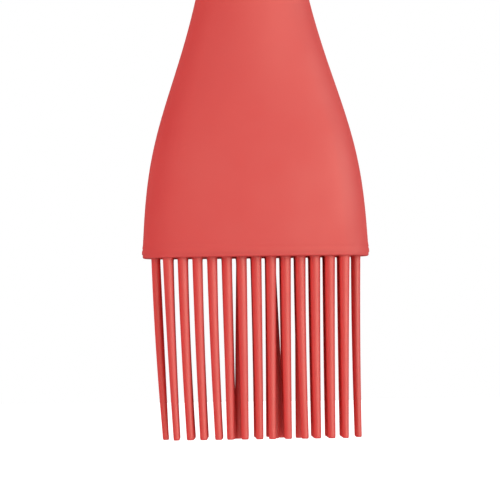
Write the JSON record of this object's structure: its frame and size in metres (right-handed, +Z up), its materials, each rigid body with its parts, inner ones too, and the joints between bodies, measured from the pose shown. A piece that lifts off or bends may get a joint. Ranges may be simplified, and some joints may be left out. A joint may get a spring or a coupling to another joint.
{
  "type": "pastry brush",
  "caption": "Flat pastry and basting brush: bell-shaped silicone head that pulls off, rows of soft round bristles, and a slim soft-skinned handle with a hanging hole.",
  "frame": {"origin": "centre of the hanging hole at the handle's end", "axes": "+Z up along the brush, with the bristles lowest; +Y along the hanging hole, from the front face to the back; +X across the flat of the brush"},
  "size_m": [0.04, 0.014, 0.2106],
  "materials": {
    "silicone_head": "smooth matt coral silicone",
    "silicone_handle": "smooth matt coral silicone",
    "silicone_bristles": "smooth matt coral silicone",
    "nylon_core": "matt off-white glass-filled nylon"
  },
  "bodies": {
    "handle": {"handle_core": "nylon_core", "handle_skin": "silicone_handle"},
    "head": {"head_shell": "silicone_head", "bristle_block": "silicone_head"},
    "front_row": {"bristle_front_01": "silicone_bristles", "bristle_front_02": "silicone_bristles", "bristle_front_03": "silicone_bristles", "bristle_front_04": "silicone_bristles", "bristle_front_05": "silicone_bristles", "bristle_front_06": "silicone_bristles", "bristle_front_07": "silicone_bristles", "bristle_front_08": "silicone_bristles", "bristle_front_09": "silicone_bristles", "bristle_front_10": "silicone_bristles", "bristle_front_11": "silicone_bristles", "bristle_front_12": "silicone_bristles", "bristle_front_13": "silicone_bristles"},
    "second_row": {"bristle_second_01": "silicone_bristles", "bristle_second_02": "silicone_bristles", "bristle_second_03": "silicone_bristles", "bristle_second_04": "silicone_bristles", "bristle_second_05": "silicone_bristles", "bristle_second_06": "silicone_bristles", "bristle_second_07": "silicone_bristles", "bristle_second_08": "silicone_bristles", "bristle_second_09": "silicone_bristles", "bristle_second_10": "silicone_bristles", "bristle_second_11": "silicone_bristles", "bristle_second_12": "silicone_bristles", "bristle_second_13": "silicone_bristles", "bristle_second_14": "silicone_bristles", "bristle_second_15": "silicone_bristles"},
    "third_row": {"bristle_third_01": "silicone_bristles", "bristle_third_02": "silicone_bristles", "bristle_third_03": "silicone_bristles", "bristle_third_04": "silicone_bristles", "bristle_third_05": "silicone_bristles", "bristle_third_06": "silicone_bristles", "bristle_third_07": "silicone_bristles", "bristle_third_08": "silicone_bristles", "bristle_third_09": "silicone_bristles", "bristle_third_10": "silicone_bristles", "bristle_third_11": "silicone_bristles", "bristle_third_12": "silicone_bristles", "bristle_third_13": "silicone_bristles", "bristle_third_14": "silicone_bristles", "bristle_third_15": "silicone_bristles"},
    "back_row": {"bristle_back_01": "silicone_bristles", "bristle_back_02": "silicone_bristles", "bristle_back_03": "silicone_bristles", "bristle_back_04": "silicone_bristles", "bristle_back_05": "silicone_bristles", "bristle_back_06": "silicone_bristles", "bristle_back_07": "silicone_bristles", "bristle_back_08": "silicone_bristles", "bristle_back_09": "silicone_bristles", "bristle_back_10": "silicone_bristles", "bristle_back_11": "silicone_bristles", "bristle_back_12": "silicone_bristles", "bristle_back_13": "silicone_bristles"}
  },
  "joints": [
    {"name": "head_pull_off", "type": "slide", "parent": "handle", "child": "head", "axis": [0, 0, -1], "range_m": [0, 0.052]},
    {"name": "front_row_flex", "type": "hinge", "parent": "head", "child": "front_row", "pos_m": [0, -0.0042, -0.1691], "axis": [1, 0, 0], "range_deg": [-35, 35], "stiffness_Nm_per_rad": 0.001},
    {"name": "second_row_flex", "type": "hinge", "parent": "head", "child": "second_row", "pos_m": [0, -0.0014, -0.1691], "axis": [1, 0, 0], "range_deg": [-35, 35], "stiffness_Nm_per_rad": 0.00115},
    {"name": "third_row_flex", "type": "hinge", "parent": "head", "child": "third_row", "pos_m": [0, 0.0014, -0.1691], "axis": [1, 0, 0], "range_deg": [-35, 35], "stiffness_Nm_per_rad": 0.00115},
    {"name": "back_row_flex", "type": "hinge", "parent": "head", "child": "back_row", "pos_m": [0, 0.0042, -0.1691], "axis": [1, 0, 0], "range_deg": [-35, 35], "stiffness_Nm_per_rad": 0.001}
  ],
  "couplings": [
    {"joint": "second_row_flex", "follows": "front_row_flex", "ratio": 1},
    {"joint": "third_row_flex", "follows": "front_row_flex", "ratio": 1},
    {"joint": "back_row_flex", "follows": "front_row_flex", "ratio": 1}
  ]
}
